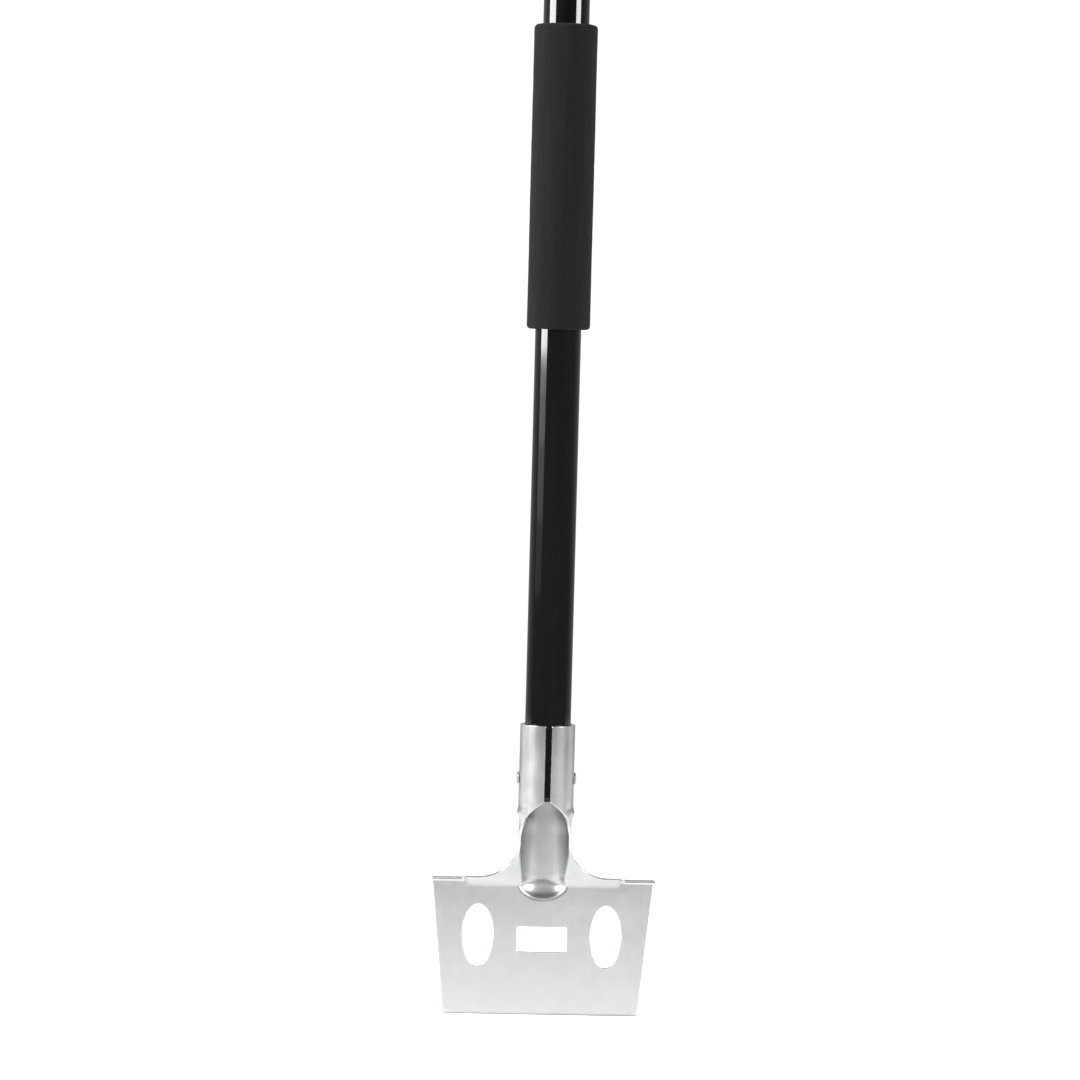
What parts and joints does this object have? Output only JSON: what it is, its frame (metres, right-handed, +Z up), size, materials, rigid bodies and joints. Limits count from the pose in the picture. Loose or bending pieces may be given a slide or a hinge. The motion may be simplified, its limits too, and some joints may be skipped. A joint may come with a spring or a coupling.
{
  "type": "ice scraper",
  "caption": "Long-handled ice scraper with a stamped steel blade head, rolled socket, black tube pole, foam grips and a hang cap.",
  "frame": {"origin": "on the pole's axis, at the level of the scraping edge", "axes": "+Z up the pole's axis, +X to the right with the hollow facing the viewer, -Y out of the hollow's open side"},
  "size_m": [0.1562, 0.044, 1.406],
  "materials": {
    "sheet_steel": "bright mill finish, mottled",
    "pole_paint": "gloss black",
    "plug_plastic": "satin black",
    "rivet_steel": "zinc plated",
    "stem_steel": "dull dark steel",
    "grip_foam": "matte closed-cell foam"
  },
  "bodies": {
    "root": {"blade_head": "sheet_steel", "pole_tube": "pole_paint", "lower_plug": "plug_plastic", "rivet_left": "rivet_steel", "rivet_right": "rivet_steel", "rivet_stem_left": "stem_steel", "rivet_stem_right": "stem_steel", "lower_grip": "grip_foam", "upper_grip": "grip_foam", "end_cap": "plug_plastic"}
  },
  "joints": []
}
